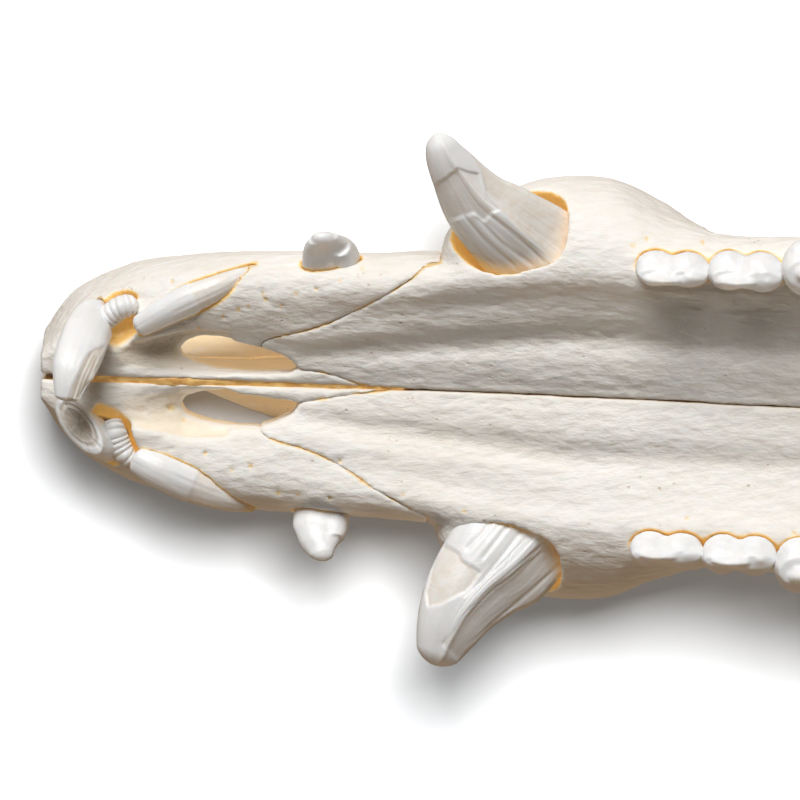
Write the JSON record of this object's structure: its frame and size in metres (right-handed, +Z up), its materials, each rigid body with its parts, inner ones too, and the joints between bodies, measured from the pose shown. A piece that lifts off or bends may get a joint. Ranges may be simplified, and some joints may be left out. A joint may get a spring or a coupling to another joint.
{
  "type": "wild boar skull",
  "caption": "Upper skull of a young wild boar without the lower jaw, lying on its roof with the palate, tooth rows and short tusks up, as a museum shows it",
  "frame": {"origin": "on the floor under the middle of the skull", "axes": "+X from the snout to the nuchal crest, along the skull's length; +Y to the animal's left; +Z up, from the skull's roof, which lies on the floor, to its palate"},
  "size_m": [0.3769, 0.1498, 0.122],
  "materials": {
    "braincase": "dry cleaned bone, matt",
    "frontal_left": "dry cleaned bone, matt",
    "frontal_right": "dry cleaned bone, matt",
    "maxilla_left": "dry cleaned bone, matt",
    "maxilla_right": "dry cleaned bone, matt",
    "nasal_left": "dry cleaned bone, matt",
    "nasal_right": "dry cleaned bone, matt",
    "premaxilla_left": "dry cleaned bone, matt",
    "premaxilla_right": "dry cleaned bone, matt",
    "tusk_left": "worn enamel, semi-gloss",
    "tusk_right": "worn enamel, semi-gloss",
    "zygomatic_left": "dry cleaned bone, matt",
    "zygomatic_right": "dry cleaned bone, matt"
  },
  "bodies": {
    "root": {"braincase": "braincase", "frontal_left": "frontal_left", "frontal_right": "frontal_right", "maxilla_left": "maxilla_left", "maxilla_right": "maxilla_right", "nasal_left": "nasal_left", "nasal_right": "nasal_right", "premaxilla_left": "premaxilla_left", "premaxilla_right": "premaxilla_right", "tusk_left": "tusk_left", "tusk_right": "tusk_right", "zygomatic_left": "zygomatic_left", "zygomatic_right": "zygomatic_right"}
  },
  "joints": []
}
